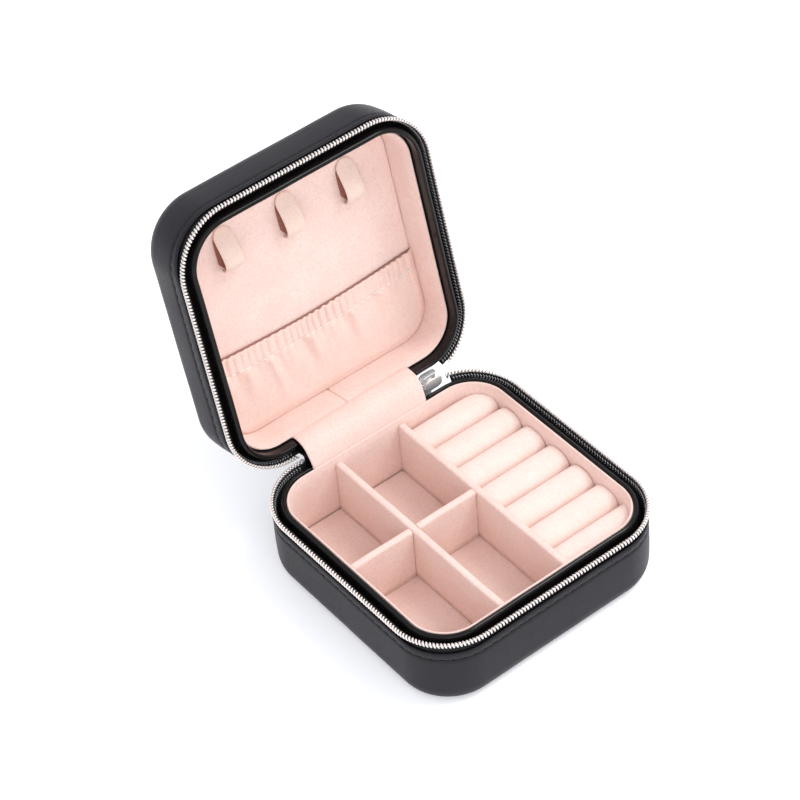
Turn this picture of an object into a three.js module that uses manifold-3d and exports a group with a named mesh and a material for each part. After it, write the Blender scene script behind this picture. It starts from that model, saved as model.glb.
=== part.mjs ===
// Small square zip-round jewellery case, modelled open. Millimetres, +Z up.
// Origin: centre of the base's flat underside. +Y is the hinge side, -Y the front.
import * as THREE from 'three';
import { mergeVertices } from 'three/addons/utils/BufferGeometryUtils.js';
import Module from 'manifold-3d';

const wasm = await Module();
wasm.setup();

// ---------------------------------------------------------------- dimensions
const GAP = 0.3;                 // clearance between neighbouring pieces
const SEG = 7;                   // segments per rounded plan corner

const WALL = 48.25;              // half width of the leather wall, outside
const WALL_R = 18.5;             // plan corner radius of that wall
const SKIN = 0.9;                // leather thickness
const EDGE_R = 3.2;              // rounding between wall and bottom or top

const HEM_BASE = 24.1;           // top edge of the base's leather band
const HEM_LID = 31.1;            // lower edge of the lid's leather band, lid shut
const TOP = 51.1;                // top of the lid, lid shut

const AXIS_Y = 49.25;            // hinge axis, runs along X
const AXIS_Z = 27.6;
const OPEN_DEG = 102.9;          // the lid as modelled stands open by this angle

const TEETH = 49.0;              // half width of the zip teeth line
const TEETH_R = 21.0;
const TEETH_RAD = 0.75;          // radius of the coil
const TEETH_Z_BASE = 26.5;
const TEETH_Z_LID = 28.8;

const BOARD_OUT = 47.05, BOARD_IN = 46.05;
const TAPE_OUT = 47.05, TAPE_IN = 46.5, TAPE_LIP = 48.8;
const RIM_OUT = 45.4, RIM_IN = 43.6;
const LINE_OUT = 43.3, LINE_IN = 42.0;
const INSERT = 41.7;             // half width of everything laid in the lining

const RIM_TOP_BASE = 27.1, RIM_TOP_LID = 27.5;
const LINE_TOP_BASE = 26.8, LINE_TOP_LID = 31.6;
const FLOOR_TOP = 4.0;           // top of the base's floor lining
const PANEL_FACE = 44.0;         // inner face of the lid's lining panel, lid shut

const STRAP_X0 = -25.0, STRAP_X1 = 21.6;   // hinge strap, along X
const ZIP_GAP_X0 = -25.8, ZIP_GAP_X1 = 34.3; // where the zip tapes stop at the back

const DIV_T = 2.6;               // divider thickness
const DIV_TOP = 25.0;
const D1_X = -17.9, D2_X = 8.2;  // left faces of the two long dividers
const CROSS_Y = 1.2;             // front face of the two cross dividers

const ROLL_R = 5.85, ROLL_PITCH = 12, ROLL_Z = 16.7, ROLL_X0 = 11.2;

const HOOK_X = [-24.0, 0.5, 25.0], HOOK_W = 8.0;
const POCKET_Y = 11.5;           // mouth of the pocket, lid shut

// ---------------------------------------------------------------- materials
const mat = (color, roughness, metalness = 0) => new THREE.MeshStandardMaterial({ color, roughness, metalness });
const leather = () => mat(0x1b1a1c, 0.42);
const rimSkin = () => mat(0x0c0b0c, 0.25);
const tapeCloth = () => mat(0x131214, 0.85);
const velvet = () => mat(0xeac9bd, 0.95);
const board = () => mat(0x9b9185, 0.9);
const metal = () => mat(0xc9c0bb, 0.25, 1.0);

// ---------------------------------------------------------------- helpers
function roundRect(ax, ay, r, Kind = THREE.Shape) {
  const s = new Kind();
  s.moveTo(ax - r, -ay);
  s.absarc(ax - r, -ay + r, r, -Math.PI / 2, 0, false);
  s.absarc(ax - r, ay - r, r, 0, Math.PI / 2, false);
  s.absarc(-ax + r, ay - r, r, Math.PI / 2, Math.PI, false);
  s.absarc(-ax + r, -ay + r, r, Math.PI, 1.5 * Math.PI, false);
  return s;
}
const radiusAt = (a) => Math.max(4, WALL_R - (WALL - a));

function prism(a, z0, z1, r = radiusAt(a)) {
  const g = new THREE.ExtrudeGeometry(roundRect(a, a, r), { depth: z1 - z0, bevelEnabled: false, curveSegments: SEG });
  g.translate(0, 0, z0);
  return g;
}
function ring(aOut, aIn, z0, z1, rOut = radiusAt(aOut), rIn = radiusAt(aIn)) {
  const s = roundRect(aOut, aOut, rOut);
  s.holes.push(roundRect(aIn, aIn, rIn, THREE.Path));
  const g = new THREE.ExtrudeGeometry(s, { depth: z1 - z0, bevelEnabled: false, curveSegments: SEG });
  g.translate(0, 0, z0);
  return g;
}
function pillow(a, z0, z1, r, e, n = 4) {   // prism with both ends rounded by e
  const g = new THREE.ExtrudeGeometry(roundRect(a, a, r), {
    depth: z1 - z0 - 2 * e, bevelEnabled: true, bevelThickness: e, bevelSize: e, bevelOffset: -e, bevelSegments: n, curveSegments: SEG });
  g.translate(0, 0, z0 + e);
  return g;
}
function box(x0, x1, y0, y1, z0, z1) {
  const g = new THREE.BoxGeometry(x1 - x0, y1 - y0, z1 - z0);
  g.translate((x0 + x1) / 2, (y0 + y1) / 2, (z0 + z1) / 2);
  return g;
}
function rodX(x0, x1, y, z, r, n = 20) {
  const g = new THREE.CylinderGeometry(r, r, x1 - x0, n);
  g.rotateZ(Math.PI / 2);
  g.translate((x0 + x1) / 2, y, z);
  return g;
}
function profileX(points, x0, x1) {          // outline in Y,Z pushed along X
  const s = new THREE.Shape(points.map(([y, z]) => new THREE.Vector2(y, z)));
  const g = new THREE.ExtrudeGeometry(s, { depth: x1 - x0, bevelEnabled: false });
  g.applyMatrix4(new THREE.Matrix4().set(0, 0, 1, x0, 1, 0, 0, 0, 0, 1, 0, 0, 0, 0, 0, 1));
  return g;
}
function solid(geometry) {
  const g = geometry.clone();
  g.deleteAttribute('normal');
  g.deleteAttribute('uv');
  const m = mergeVertices(g, 1e-4);
  return new wasm.Manifold(new wasm.Mesh({
    numProp: 3,
    vertProperties: new Float32Array(m.attributes.position.array),
    triVerts: new Uint32Array(m.index.array) }));
}
function geometry(manifold) {
  const m = manifold.getMesh();
  const pos = new Float32Array(m.numVert * 3);
  for (let i = 0; i < m.numVert; i++) for (let k = 0; k < 3; k++) pos[3 * i + k] = m.vertProperties[m.numProp * i + k];
  const g = new THREE.BufferGeometry();
  g.setAttribute('position', new THREE.BufferAttribute(pos, 3));
  g.setIndex(new THREE.BufferAttribute(new Uint32Array(m.triVerts), 1));
  g.computeVertexNormals();
  return g;
}
function add(group, name, geo, material) {
  const m = new THREE.Mesh(geo, material);
  m.name = name;
  group.add(m);
  return m;
}
const BIG = 200;

// a leather band: wall with one rounded end, open in the middle of that end
function band(z0, z1, roundedAtTop) {
  const lo = roundedAtTop ? z0 - 20 : z0, hi = roundedAtTop ? z1 : z1 + 20;
  let s = solid(pillow(WALL, lo, hi, WALL_R, EDGE_R));
  const iLo = roundedAtTop ? lo - 5 : z0 + SKIN, iHi = roundedAtTop ? z1 - SKIN : hi + 5;
  s = s.subtract(solid(pillow(WALL - SKIN, iLo, iHi, WALL_R - SKIN, EDGE_R - SKIN, 2)));
  s = s.subtract(roundedAtTop ? solid(box(-BIG, BIG, -BIG, BIG, -BIG, z0)) : solid(box(-BIG, BIG, -BIG, BIG, z1, BIG)));
  const hole = WALL - 3.85;
  s = s.subtract(solid(roundedAtTop ? prism(hole, z1 - 2, z1 + 5) : prism(hole, z0 - 5, z0 + 2)));
  return geometry(s);
}
// the open line that the zip teeth follow, from the right of the strap round the front to its left
function teethPath(z) {
  const a = TEETH, r = TEETH_R, c = a - r, pts = [];
  const arc = (cx, cy, d0, d1, n) => { for (let i = 0; i <= n; i++) { const t = THREE.MathUtils.degToRad(d0 + (d1 - d0) * i / n); pts.push(new THREE.Vector3(cx + r * Math.cos(t), cy + r * Math.sin(t), z)); } };
  const start = THREE.MathUtils.radToDeg(Math.acos((ZIP_GAP_X1 - c) / r));
  arc(c, c, start, 0, 7);
  for (let i = 1; i < 5; i++) pts.push(new THREE.Vector3(a, c - 2 * c * i / 5, z));
  arc(c, -c, 0, -90, 9);
  for (let i = 1; i < 5; i++) pts.push(new THREE.Vector3(c - 2 * c * i / 5, -a, z));
  arc(-c, -c, -90, -180, 9);
  for (let i = 1; i < 5; i++) pts.push(new THREE.Vector3(-a, -c + 2 * c * i / 5, z));
  arc(-c, c, 180, 90, 9);
  pts.push(new THREE.Vector3(-26.6, a, z));
  return new THREE.CatmullRomCurve3(pts, false, 'centripetal');
}
function teeth(z) {
  const s = new THREE.Shape();
  for (let i = 0; i < 6; i++) { const t = Math.PI * i / 3; i ? s.lineTo(TEETH_RAD * Math.cos(t), TEETH_RAD * Math.sin(t)) : s.moveTo(TEETH_RAD, 0); }
  return new THREE.ExtrudeGeometry(s, { steps: 64, bevelEnabled: false, extrudePath: teethPath(z) });
}
function zipTape(zFoot, zEdge, dir) {        // dir +1: tape rises from foot to edge
  const z0 = Math.min(zFoot, zEdge), z1 = Math.max(zFoot, zEdge);
  let s = solid(ring(TAPE_OUT, TAPE_IN, z0, z1));
  const f0 = dir > 0 ? zEdge - 0.7 : zEdge, f1 = dir > 0 ? zEdge : zEdge + 0.7;
  s = s.add(solid(ring(TAPE_LIP, TAPE_IN, f0, f1, TEETH_R - 0.4, radiusAt(TAPE_IN))));
  s = s.subtract(solid(box(ZIP_GAP_X0, ZIP_GAP_X1, 35, 60, z0 - 5, z1 + 5)));
  return geometry(s);
}
function notchedRing(aOut, aIn, z0, z1, n0, n1) {
  const s = solid(ring(aOut, aIn, z0, z1)).subtract(solid(box(STRAP_X0 - 0.4, STRAP_X1 + 0.4, 35, 60, n0, n1)));
  return geometry(s);
}

// ---------------------------------------------------------------- base
const group = new THREE.Group();
const base = new THREE.Group();
group.add(base);

add(base, 'base_side_band', band(0, HEM_BASE, false), leather());
add(base, 'base_bottom_panel', prism(WALL - 4.15, 0, SKIN), leather());
add(base, 'base_bottom_board', prism(45.6, 1.2, 2.9), board());
add(base, 'base_side_board', ring(BOARD_OUT, BOARD_IN, 3.4, 19.0), board());
add(base, 'base_zip_tape', zipTape(19.3, 25.1, 1), tapeCloth());
add(base, 'base_zip_teeth', teeth(TEETH_Z_BASE), metal());
add(base, 'base_inner_rim', notchedRing(RIM_OUT, RIM_IN, 3.2, RIM_TOP_BASE, 26.2, 40), rimSkin());
add(base, 'base_side_lining', ring(LINE_OUT, LINE_IN, 3.2, LINE_TOP_BASE), velvet());
add(base, 'base_floor_lining', prism(INSERT, 3.2, FLOOR_TOP), velvet());

const divZ0 = FLOOR_TOP + GAP;
add(base, 'divider_long_left', box(D1_X, D1_X + DIV_T, -INSERT, INSERT, divZ0, DIV_TOP), velvet());
add(base, 'divider_long_right', box(D2_X, D2_X + DIV_T, -INSERT, INSERT, divZ0, DIV_TOP), velvet());
add(base, 'divider_cross_left', box(-INSERT, D1_X - GAP, CROSS_Y, CROSS_Y + DIV_T, divZ0, DIV_TOP), velvet());
add(base, 'divider_cross_middle', box(D1_X + DIV_T + GAP, D2_X - GAP, CROSS_Y, CROSS_Y + DIV_T, divZ0, DIV_TOP), velvet());

const insideInsert = solid(prism(INSERT, 0, 40));
add(base, 'ring_roll_tray', geometry(solid(box(ROLL_X0, INSERT, -INSERT, INSERT, divZ0, ROLL_Z - ROLL_R - GAP)).intersect(insideInsert)), board());
for (let i = 0; i < 7; i++) {
  const y = ROLL_PITCH * (3 - i);
  const r = solid(rodX(ROLL_X0, INSERT, y, ROLL_Z, ROLL_R, 24)).intersect(insideInsert);
  add(base, `ring_roll_${i + 1}`, geometry(r), velvet());
}
add(base, 'zip_end_stop', box(-26.3, -25.35, 48.2, 49.2, 25.8, 27.1), metal());

// hinge strap: leather spine outside, velvet inside, each in two halves that meet at the axis
add(base, 'hinge_spine_base', box(STRAP_X0, STRAP_X1, WALL + GAP, 49.15, 14.0, 27.3), leather());
add(base, 'hinge_lining_base', profileX([[43.6, 26.5], [48.4, 26.6], [48.4, 27.25], [43.6, 27.2]], STRAP_X0, STRAP_X1), velvet());

// zip slider on the back edge, right of the strap
const sliderBody = new THREE.Group();
base.add(sliderBody);
const SX = 24.4;
const PIN_Y = 52.4, PIN_Z = 25.4;
{
  let s = solid(box(SX, SX + 7, 50.5, 51.2, 25.4, 29.8));            // outer plate
  s = s.add(solid(box(SX, SX + 7, 47.6, 48.3, 25.6, 29.6)));         // inner plate
  s = s.add(solid(box(SX + 0.4, SX + 2.8, 48.0, 50.8, 27.0, 28.2))); // bridge
  s = s.add(solid(box(SX + 1.2, SX + 2.1, 51.0, 53.0, 24.9, 26.0))); // two lugs
  s = s.add(solid(box(SX + 4.9, SX + 5.8, 51.0, 53.0, 24.9, 26.0)));
  s = s.add(solid(rodX(SX + 1.6, SX + 5.4, PIN_Y, PIN_Z, 0.4, 12)));  // bar the pull hangs on
  s = s.add(solid(box(SX + 1.2, SX + 5.8, 50.6, 51.2, 24.9, 25.6)));
  add(sliderBody, 'zip_slider', geometry(s), metal());
}
{
  let s = solid(rodX(SX + 2.5, SX + 4.5, PIN_Y, PIN_Z, 1.1, 16));
  s = s.add(solid(box(SX + 2.5, SX + 4.5, 51.95, 52.85, 20, 24.9)));
  s = s.add(solid(box(SX + 1.0, SX + 6.0, 51.95, 52.85, 9.0, 21.5)));
  s = s.subtract(solid(rodX(SX - 2, SX + 10, PIN_Y, PIN_Z, 0.72, 16)));
  add(sliderBody, 'zip_pull', geometry(s), metal());
}

// ---------------------------------------------------------------- lid, modelled shut and then swung open
const lidPivot = new THREE.Group();
lidPivot.position.set(0, AXIS_Y, AXIS_Z);
lidPivot.rotation.x = -THREE.MathUtils.degToRad(OPEN_DEG);
group.add(lidPivot);
const lid = new THREE.Group();
lid.position.set(0, -AXIS_Y, -AXIS_Z);
lidPivot.add(lid);

add(lid, 'lid_side_band', band(HEM_LID, TOP, true), leather());
add(lid, 'lid_top_panel', prism(WALL - 4.15, TOP - SKIN, TOP), leather());
add(lid, 'lid_top_board', prism(45.6, 48.2, 49.9), board());
add(lid, 'lid_side_board', ring(BOARD_OUT, BOARD_IN, 36.2, 47.7), board());
add(lid, 'lid_zip_tape', zipTape(35.9, 30.1, -1), tapeCloth());
add(lid, 'lid_zip_teeth', teeth(TEETH_Z_LID), metal());
add(lid, 'lid_inner_rim', notchedRing(RIM_OUT, RIM_IN, RIM_TOP_LID, 47.8, 20, 32.2), rimSkin());
add(lid, 'lid_side_lining', ring(LINE_OUT, LINE_IN, LINE_TOP_LID, 47.8), velvet());
add(lid, 'lid_panel_lining', prism(INSERT, PANEL_FACE, 44.8), velvet());
add(lid, 'lid_panel_board', prism(INSERT, 45.1, 47.6), board());
{
  const whole = solid(prism(INSERT - 0.2, 42.2, 43.7)).subtract(solid(box(-BIG, BIG, -BIG, POCKET_Y, 0, 99)));
  const inner = solid(prism(INSERT - 1.4, 42.9, 44.5));
  add(lid, 'lid_pocket', geometry(whole.subtract(inner)), velvet());
}
HOOK_X.forEach((x, i) => {
  const p = [[-17.8, 43.7], [-17.0, 41.8], [-17.6, 40.3], [-19.4, 39.7], [-23.0, 40.2], [-29.0, 41.6], [-32.6, 42.6],
    [-32.6, 43.5], [-28.6, 42.6], [-22.8, 41.2], [-19.6, 40.7], [-18.4, 41.1], [-18.0, 42.0], [-18.8, 43.7]];
  add(lid, `necklace_hook_${i + 1}`, profileX(p, x - HOOK_W / 2, x + HOOK_W / 2), velvet());
});
add(lid, 'hinge_spine_lid', box(STRAP_X0, STRAP_X1, WALL + GAP, 49.15, 27.9, 41.2), leather());
add(lid, 'hinge_lining_lid', profileX([[43.6, 31.2], [48.4, 27.95], [48.4, 28.7], [43.6, 31.95]], STRAP_X0, STRAP_X1), velvet());

export default group;
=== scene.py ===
# Looks of a small zip-round jewellery case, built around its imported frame.
# Shapes are worked out in millimetres and turned into metres when a mesh is made.
# Lid pieces are worked out with the lid shut, then swung open about the hinge axis.
import math

import bpy
import numpy as np
from mathutils import Matrix, Vector


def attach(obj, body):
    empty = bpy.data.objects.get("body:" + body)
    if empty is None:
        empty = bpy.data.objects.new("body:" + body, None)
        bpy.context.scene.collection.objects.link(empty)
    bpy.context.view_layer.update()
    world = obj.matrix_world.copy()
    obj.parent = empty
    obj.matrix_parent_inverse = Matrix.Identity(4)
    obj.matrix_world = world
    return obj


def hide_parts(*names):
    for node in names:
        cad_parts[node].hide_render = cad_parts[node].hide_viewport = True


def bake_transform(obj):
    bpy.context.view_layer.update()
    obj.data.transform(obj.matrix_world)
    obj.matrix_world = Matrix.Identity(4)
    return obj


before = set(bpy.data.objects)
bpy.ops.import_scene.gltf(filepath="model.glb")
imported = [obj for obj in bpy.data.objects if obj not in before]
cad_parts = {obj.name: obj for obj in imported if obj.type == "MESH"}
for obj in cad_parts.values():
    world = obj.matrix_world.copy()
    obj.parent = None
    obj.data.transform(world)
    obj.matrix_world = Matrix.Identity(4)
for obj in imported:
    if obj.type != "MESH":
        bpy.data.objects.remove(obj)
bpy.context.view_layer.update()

# ------------------------------------------------------------ dimensions, mm
WALL, WALL_R = 48.25, 18.5
AXIS_Y, AXIS_Z, OPEN = 49.25, 27.6, math.radians(102.9)
TEETH, TEETH_R = 49.05, 21.05
COIL = 48.62
INSERT = 41.7
STRAP = (-25.0, 21.6)
PI = math.pi


def rad(d):
    return max(4.0, WALL_R - (WALL - d))


def rad_tape(d):
    return rad(d) if d < 47.0 else 17.25 + (d - 47.0) * 1.85


def opened(V):
    V = np.asarray(V, float)
    c, s = math.cos(OPEN), math.sin(OPEN)
    y, z = V[..., 1] - AXIS_Y, V[..., 2] - AXIS_Z
    return np.stack([V[..., 0], AXIS_Y + y * c + z * s, AXIS_Z - y * s + z * c], -1)


# ------------------------------------------------------------ plan outlines
def piece_lengths(a, r):
    c, k = a - r, PI * r / 2
    return np.array([c, k, 2 * c, k, 2 * c, k, 2 * c, k, c])


def q_of_s(s, a, r):
    lens = piece_lengths(a, r)
    cum = np.concatenate([[0], np.cumsum(lens)])
    s = np.mod(np.asarray(s, float), cum[-1])
    i = np.clip(np.searchsorted(cum, s, side="right") - 1, 0, 8)
    return i + (s - cum[i]) / lens[i]


def outline(q, a, r):
    """Points, outward normals and directions of a rounded square; q counts its nine stretches from the middle of the back."""
    q = np.asarray(q, float)
    i = np.clip(np.floor(q).astype(int), 0, 8)
    f = q - i
    c = a - r
    P, N = np.zeros((len(q), 2)), np.zeros((len(q), 2))
    for k, (x0, y0, x1, y1, nx, ny) in {
        0: (0, a, -c, a, 0, 1), 2: (-a, c, -a, -c, -1, 0), 4: (-c, -a, c, -a, 0, -1), 6: (a, -c, a, c, 1, 0), 8: (c, a, 0, a, 0, 1)}.items():
        m = i == k
        P[m] = np.stack([x0 + (x1 - x0) * f[m], y0 + (y1 - y0) * f[m]], 1)
        N[m] = (nx, ny)
    for k, (cx, cy, g) in {1: (-c, c, 90), 3: (-c, -c, 180), 5: (c, -c, 270), 7: (c, c, 0)}.items():
        m = i == k
        t = np.radians(g + 90 * f[m])
        N[m] = np.stack([np.cos(t), np.sin(t)], 1)
        P[m] = np.array([cx, cy]) + r * N[m]
    return P, N, np.stack([-N[:, 1], N[:, 0]], 1)


def ring_q(n):
    L = piece_lengths(WALL, WALL_R).sum()
    return q_of_s(np.arange(n) * L / n, WALL, WALL_R), np.arange(n + 1) * L / n


def wave(s, parts, L=354.0):
    s = np.asarray(s, float)
    return sum(a * np.sin(2 * PI * k * s / L + p) for a, k, p in parts)


def lumps(x, y, seed, amp, size):
    """A smooth uneven surface, always the same for one seed."""
    g = np.random.default_rng(seed)
    out = np.zeros(np.broadcast(x, y).shape)
    for _ in range(9):
        a, w, p = g.uniform(0, 2 * PI), g.uniform(0.6, 1.7) * 2 * PI / size, g.uniform(0, 2 * PI)
        out = out + np.sin(w * (np.cos(a) * x + np.sin(a) * y) + p)
    return amp * out / 3.0


def arc(cx, cz, r, a0, a1, n):
    t = np.radians(np.linspace(a0, a1, n + 1))
    return [(cx + r * math.cos(k), cz + r * math.sin(k)) for k in t]


def spline(points, n):
    """Even samples on a smooth curve through the points."""
    P = np.asarray(points, float)
    k = np.vstack([2 * P[0] - P[1], P, 2 * P[-1] - P[-2]])
    out = []
    for i in range(1, len(k) - 2):
        for t in np.linspace(0, 1, 24, endpoint=False):
            a, b, c, d = k[i - 1], k[i], k[i + 1], k[i + 2]
            out.append(0.5 * (2 * b + (c - a) * t + (2 * a - 5 * b + 4 * c - d) * t * t + (3 * b - a - 3 * c + d) * t ** 3))
    out.append(P[-1])
    out = np.array(out)
    s = np.concatenate([[0], np.cumsum(np.linalg.norm(np.diff(out, axis=0), axis=1))])
    u = np.linspace(0, s[-1], n)
    return np.stack([np.interp(u, s, out[:, j]) for j in range(out.shape[1])], 1), u


# ------------------------------------------------------------ meshes
class Geo:
    def __init__(self):
        self.V, self.Q, self.QU, self.P, self.PU, self.n = [], [], [], [], [], 0

    def add(self, V, Q, QU, polys=(), polyuv=(), closed=True):
        V = np.asarray(V, float).reshape(-1, 3)
        Q = np.asarray(Q, int).reshape(-1, 4)
        QU = np.asarray(QU, float).reshape(-1, 4, 2)
        polys = [np.asarray(p, int) for p in polys]
        polyuv = [np.asarray(p, float) for p in polyuv]
        if closed:
            o = V.mean(0)
            W = V - o
            a, b, c, d = (W[Q[:, k]] for k in range(4))
            vol = (np.einsum("ij,ij->", a, np.cross(b, c)) + np.einsum("ij,ij->", a, np.cross(c, d)))
            for p in polys:
                w = W[p]
                vol += np.einsum("ij,ij->", np.repeat(w[:1], len(p) - 2, 0), np.cross(w[1:-1], w[2:]))
            if vol < 0:
                Q, QU = Q[:, ::-1], QU[:, ::-1]
                polys, polyuv = [p[::-1] for p in polys], [p[::-1] for p in polyuv]
        self.V.append(V)
        self.Q.append(Q + self.n)
        self.QU.append(QU)
        self.P += [p + self.n for p in polys]
        self.PU += polyuv
        self.n += len(V)
        return self

    def grid(self, P, cu, cv, U=None, W=None, caps=False):
        P = np.asarray(P, float)
        nu, nv = P.shape[:2]
        if U is None:
            U = np.concatenate([[0], np.cumsum(np.linalg.norm(np.roll(P, -1, 0) - P, axis=2).mean(1))])
        if W is None:
            W = np.concatenate([[0], np.cumsum(np.linalg.norm(np.roll(P, -1, 1) - P, axis=2).mean(0))])
        U, W = np.asarray(U, float), np.asarray(W, float)
        A, B = np.meshgrid(np.arange(nu if cu else nu - 1), np.arange(nv if cv else nv - 1), indexing="ij")
        A, B = A.ravel(), B.ravel()
        ix = lambda a, b: (a % nu) * nv + (b % nv)
        Q = np.stack([ix(A, B), ix(A + 1, B), ix(A + 1, B + 1), ix(A, B + 1)], 1)
        uv = lambda a, b: np.stack([U[a], W[b]], 1)
        QU = np.stack([uv(A, B), uv(A + 1, B), uv(A + 1, B + 1), uv(A, B + 1)], 1)
        polys, pu = [], []
        if caps and cv:
            flat = lambda row: (row - row.mean(0)) @ np.linalg.svd(row - row.mean(0), full_matrices=False)[2][:2].T
            k = np.arange(nv)
            polys += [k, (nu - 1) * nv + k[::-1]]
            pu += [flat(P[0]), flat(P[-1])[::-1]]
        elif caps:
            k = np.arange(nu)
            polys += [k[::-1] * nv, k * nv + nv - 1]
            pu += [P[::-1, 0, :2], P[:, -1, :2]]
        return self.add(P, Q, QU, polys, pu)

    def stamp(self, kind, O, T, B, N):
        """One small closed shape put down many times: O places it, T, B and N are its axes."""
        V, Q = kind
        V = np.asarray(V)
        W = O[:, None, :] + V[None, :, 0, None] * T[:, None, :] + V[None, :, 1, None] * B[:, None, :] + V[None, :, 2, None] * N[:, None, :]
        n, m = len(O), len(V)
        hand = np.sign(np.einsum("i,i->", np.cross(T[0], B[0]), N[0])) or 1
        Qs = np.asarray(Q) if hand > 0 else np.asarray(Q)[:, ::-1]
        F = (Qs[None] + (np.arange(n) * m)[:, None, None]).reshape(-1, 4)
        uv = V[Qs][:, :, :2] + np.zeros((len(Qs), 4, 2))
        return self.add(W.reshape(-1, 3), F, np.tile(uv, (n, 1, 1)), closed=False)

    def object(self, name, mat, lid=False, smooth=True, sharp=None):
        V = np.concatenate(self.V)
        if lid:
            V = opened(V)
        faces = np.concatenate(self.Q).tolist() + [p.tolist() for p in self.P]
        uv = np.concatenate([np.concatenate(self.QU).reshape(-1, 2)] + self.PU)
        me = bpy.data.meshes.new(name)
        me.from_pydata((V * 0.001).tolist(), [], faces)
        layer = me.uv_layers.new(name="UVMap")
        layer.data.foreach_set("uv", uv.astype(np.float32).ravel())
        me.materials.append(mat)
        me.polygons.foreach_set("use_smooth", np.full(len(me.polygons), smooth))
        me.update()
        if sharp:
            me.set_sharp_from_angle(angle=math.radians(sharp))
        o = bpy.data.objects.new(name, me)
        bpy.context.scene.collection.objects.link(o)
        return o


def capsule(length, r, flat=1.0, rows=3, sides=8, bow=0.0):
    """Closed thread stitch along X, its back towards +Z."""
    xs, rs = [], []
    for t in np.linspace(0, PI / 2, rows + 1):
        xs.append(-length / 2 + r - r * math.cos(t)); rs.append(r * math.sin(t))
    xs += [-length / 6, length / 6]; rs += [r * 1.04, r * 1.04]
    for t in np.linspace(PI / 2, 0, rows + 1):
        xs.append(length / 2 - r + r * math.cos(t)); rs.append(r * math.sin(t))
    xs, rs = np.array(xs), np.maximum(np.array(rs), 0.02 * r)
    t = np.arange(sides) * 2 * PI / sides
    V = np.stack([np.repeat(xs[:, None], sides, 1), rs[:, None] * np.cos(t), rs[:, None] * np.sin(t) * flat - bow * (2 * xs[:, None] / length) ** 2 + 0 * t], -1)
    n = len(xs)
    A, B = np.meshgrid(np.arange(n - 1), np.arange(sides), indexing="ij")
    A, B = A.ravel(), B.ravel()
    Q = np.stack([A * sides + B, A * sides + (B + 1) % sides, (A + 1) * sides + (B + 1) % sides, (A + 1) * sides + B], 1)[:, ::-1]
    V = V.reshape(-1, 3)
    if sides == 8:
        Q = np.vstack([Q, [[0, 1, 2, 3], [0, 3, 4, 5], [0, 5, 6, 7]], [[(n - 1) * 8 + k for k in f] for f in ([3, 2, 1, 0], [5, 4, 3, 0], [7, 6, 5, 0])]])
    W = V - V.mean(0)
    a, b, c, d = (W[Q[:, k]] for k in range(4))
    if np.einsum("ij,ij->", a, np.cross(b, c)) + np.einsum("ij,ij->", a, np.cross(c, d)) < 0:
        Q = Q[:, ::-1]
    return V, Q


def strip(path, xc, half, h, n=22, side=0.35):
    """A soft strap: path in Y,Z with a rounded flat section across X. half and h may change along it."""
    path = np.asarray(path, float)
    t = np.gradient(path, axis=0)
    t /= np.linalg.norm(t, axis=1)[:, None]
    nrm = np.stack([-t[:, 1], t[:, 0]], 1)
    half, h, xc = (np.broadcast_to(v, len(path)) for v in (half, h, xc))
    a = np.arange(n) * 2 * PI / n
    ca = np.sign(np.cos(a)) * np.abs(np.cos(a)) ** side
    sa = np.sign(np.sin(a)) * np.abs(np.sin(a)) ** 0.7
    out = np.zeros((len(path), n, 3))
    out[..., 0] = xc[:, None] + half[:, None] * ca
    out[..., 1:] = path[:, None, :] + (h[:, None] * sa)[..., None] * nrm[:, None, :]
    return out


# ------------------------------------------------------------ materials
def material(name, color, rough, metal=0.0, spec=0.5):
    m = bpy.data.materials.new(name)
    m.use_nodes = True
    nt = m.node_tree
    b = nt.nodes["Principled BSDF"]
    b.inputs["Base Color"].default_value = (*color, 1)
    b.inputs["Roughness"].default_value = rough
    b.inputs["Metallic"].default_value = metal
    b.inputs["Specular IOR Level"].default_value = spec
    m.diffuse_color = (*color, 1)
    return m, nt, b


def node(nt, kind, **inputs):
    n = nt.nodes.new(kind)
    for k, v in inputs.items():
        if k.startswith("_"):
            setattr(n, k[1:], v)
        else:
            n.inputs[k.replace("__", " ")].default_value = v
    return n


def coords(nt, uv=False, scale=(1, 1, 1), rot=(0, 0, 0)):
    tc = node(nt, "ShaderNodeTexCoord")
    mp = node(nt, "ShaderNodeMapping")
    mp.inputs["Scale"].default_value = scale
    mp.inputs["Rotation"].default_value = rot
    nt.links.new(tc.outputs["UV" if uv else "Object"], mp.inputs["Vector"])
    return mp.outputs["Vector"]


def noise(nt, vec, scale, detail=2.0, rough=0.5):
    n = node(nt, "ShaderNodeTexNoise", Scale=scale, Detail=detail, Roughness=rough)
    nt.links.new(vec, n.inputs["Vector"])
    return n.outputs["Fac"]


def ramp(nt, fac, stops):
    r = nt.nodes.new("ShaderNodeValToRGB")
    e = r.color_ramp.elements
    while len(e) < len(stops):
        e.new(0.5)
    for el, (p, c) in zip(e, stops):
        el.position = p
        el.color = (*c, 1) if len(c) == 3 else c
    nt.links.new(fac, r.inputs["Fac"])
    return r.outputs["Color"]


def spread(nt, fac, lo, hi, a=0.0, b=1.0):
    r = node(nt, "ShaderNodeMapRange", _clamp=True)
    r.inputs["From Min"].default_value = a
    r.inputs["From Max"].default_value = b
    r.inputs["To Min"].default_value = lo
    r.inputs["To Max"].default_value = hi
    nt.links.new(fac, r.inputs["Value"])
    return r.outputs["Result"]


def blend_color(nt, fac, a, b, mode="MIX"):
    m = nt.nodes.new("ShaderNodeMix")
    m.data_type = "RGBA"
    m.blend_type = mode
    if isinstance(fac, (int, float)):
        m.inputs[0].default_value = fac
    else:
        nt.links.new(fac, m.inputs[0])
    for s, v in ((m.inputs[6], a), (m.inputs[7], b)):
        if isinstance(v, tuple):
            s.default_value = (*v, 1)
        else:
            nt.links.new(v, s)
    return m.outputs[2]


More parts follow.
